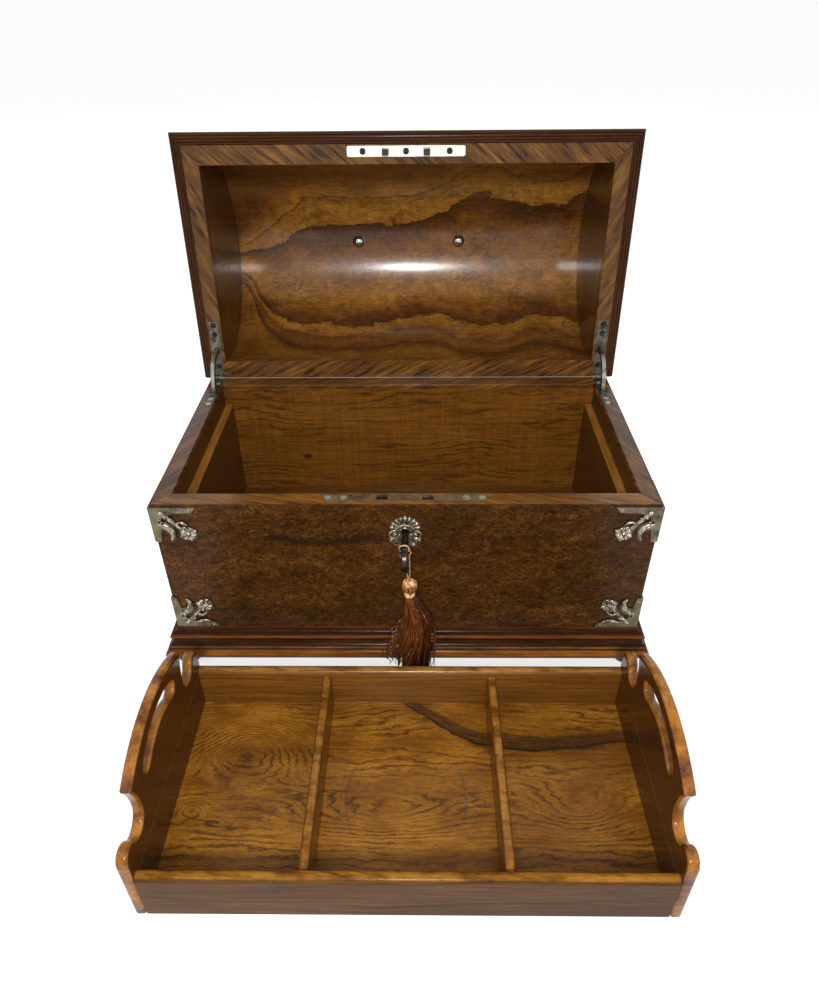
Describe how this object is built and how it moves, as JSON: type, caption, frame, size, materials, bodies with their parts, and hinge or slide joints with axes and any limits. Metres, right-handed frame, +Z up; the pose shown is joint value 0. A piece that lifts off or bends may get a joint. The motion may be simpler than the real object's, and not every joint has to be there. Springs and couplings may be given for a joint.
{
  "type": "domed jewellery casket with lift-out tray",
  "caption": "Domed walnut jewellery casket on a moulded plinth, lid held open by quadrant hinges, key and tassel in the lock, and its galleried lift-out tray standing in front.",
  "frame": {"origin": "centre of the whole object's footprint (casket with its lid open, and the tray in front), on the surface it stands on", "axes": "+X across the case's width, +Y from the tray towards the lid's back, +Z up"},
  "size_m": [0.3714, 0.527, 0.3435],
  "materials": {
    "walnut_burr": "polished",
    "walnut_veneer": "polished",
    "walnut_solid": "polished",
    "walnut_carcass": "satin",
    "walnut_inside": "polished",
    "walnut_tray": "polished",
    "antiqued_metal": "antiqued",
    "bright_metal": "polished",
    "lock_steel": "dark",
    "silk": "silk strands",
    "silk_pale": "silk cord"
  },
  "bodies": {
    "case": {"veneer_front": "walnut_burr", "veneers_sides_back": "walnut_veneer", "plinth_front": "walnut_solid", "plinth_back": "walnut_solid", "plinth_left": "walnut_solid", "plinth_right": "walnut_solid", "feet": "walnut_solid", "rim_front": "walnut_solid", "rim_back": "walnut_solid", "rim_left": "walnut_solid", "rim_right": "walnut_solid", "case_front": "walnut_carcass", "case_back": "walnut_carcass", "case_left": "walnut_carcass", "case_right": "walnut_carcass", "case_bottom": "walnut_carcass", "base_board": "walnut_carcass", "end_liners": "walnut_carcass", "corner_mount_top_left": "antiqued_metal", "corner_mount_top_right": "antiqued_metal", "corner_mount_bottom_left": "antiqued_metal", "corner_mount_bottom_right": "antiqued_metal", "escutcheon": "antiqued_metal", "lock_selvedge": "antiqued_metal", "hinge_leaf_case_left": "bright_metal", "hinge_leaf_case_right": "bright_metal", "hinge_pins": "bright_metal", "case_screws": "bright_metal", "lock_case": "lock_steel", "lock_cover": "lock_steel", "lock_spring": "lock_steel"},
    "lid": {"lid_frame": "walnut_solid", "lid_moulding_front": "walnut_solid", "lid_moulding_left": "walnut_solid", "lid_moulding_right": "walnut_solid", "lid_end_left": "walnut_inside", "lid_end_right": "walnut_inside", "lid_dome": "walnut_inside", "lid_veneers": "walnut_veneer", "hinge_leaf_lid_left": "bright_metal", "hinge_leaf_lid_right": "bright_metal", "lid_screws": "bright_metal", "link_plate": "bright_metal", "handle_posts": "antiqued_metal", "handle_nuts": "antiqued_metal"},
    "handle": {"handle_bail": "antiqued_metal"},
    "stay_left": {"stay_left": "bright_metal"},
    "stay_right": {"stay_right": "bright_metal"},
    "bolt": {"lock_bolt": "lock_steel"},
    "key": {"key": "lock_steel"},
    "tassel": {"tassel_cord": "silk_pale", "tassel_head": "silk_pale", "tassel_skirt": "silk"},
    "tray": {"tray_floor": "walnut_tray", "tray_front": "walnut_tray", "tray_back": "walnut_tray", "tray_end_left": "walnut_tray", "tray_end_right": "walnut_tray", "tray_divider_left": "walnut_tray", "tray_divider_right": "walnut_tray"}
  },
  "joints": [
    {"name": "lid_hinge", "type": "hinge", "parent": "case", "child": "lid", "pos_m": [0, 0.12249, 0.15], "axis": [1, 0, 0], "range_deg": [0, 95.5]},
    {"name": "stay_left_turn", "type": "hinge", "parent": "case", "child": "stay_left", "pos_m": [0, 0.12249, 0.15], "axis": [1, 0, 0], "range_deg": [0, 47.75]},
    {"name": "stay_right_turn", "type": "hinge", "parent": "case", "child": "stay_right", "pos_m": [0, 0.12249, 0.15], "axis": [1, 0, 0], "range_deg": [0, 47.75]},
    {"name": "handle_swing", "type": "hinge", "parent": "lid", "child": "handle", "pos_m": [0, 0.25901, 0.23229], "axis": [1, 0, 0], "range_deg": [-24, 193]},
    {"name": "key_turn", "type": "hinge", "parent": "case", "child": "key", "pos_m": [0, -0.07251, 0.127], "axis": [0, 1, 0], "range_deg": [0, 360]},
    {"name": "bolt_slide", "type": "slide", "parent": "case", "child": "bolt", "axis": [1, 0, 0], "range_m": [0, 0.006]},
    {"name": "tassel_swing", "type": "hinge", "parent": "case", "child": "tassel", "pos_m": [0, -0.08651, 0.127], "axis": [0, 1, 0], "range_deg": [-30, 30]},
    {"name": "tray_lift", "type": "slide", "parent": "case", "child": "tray", "axis": [0, -0.4472, 0.8944], "range_m": [0, 0.2]}
  ],
  "couplings": [
    {"joint": "stay_left_turn", "follows": "lid_hinge", "ratio": 0.5},
    {"joint": "stay_right_turn", "follows": "lid_hinge", "ratio": 0.5},
    {"joint": "bolt_slide", "follows": "key_turn", "m_per_rad": 0.00095}
  ]
}
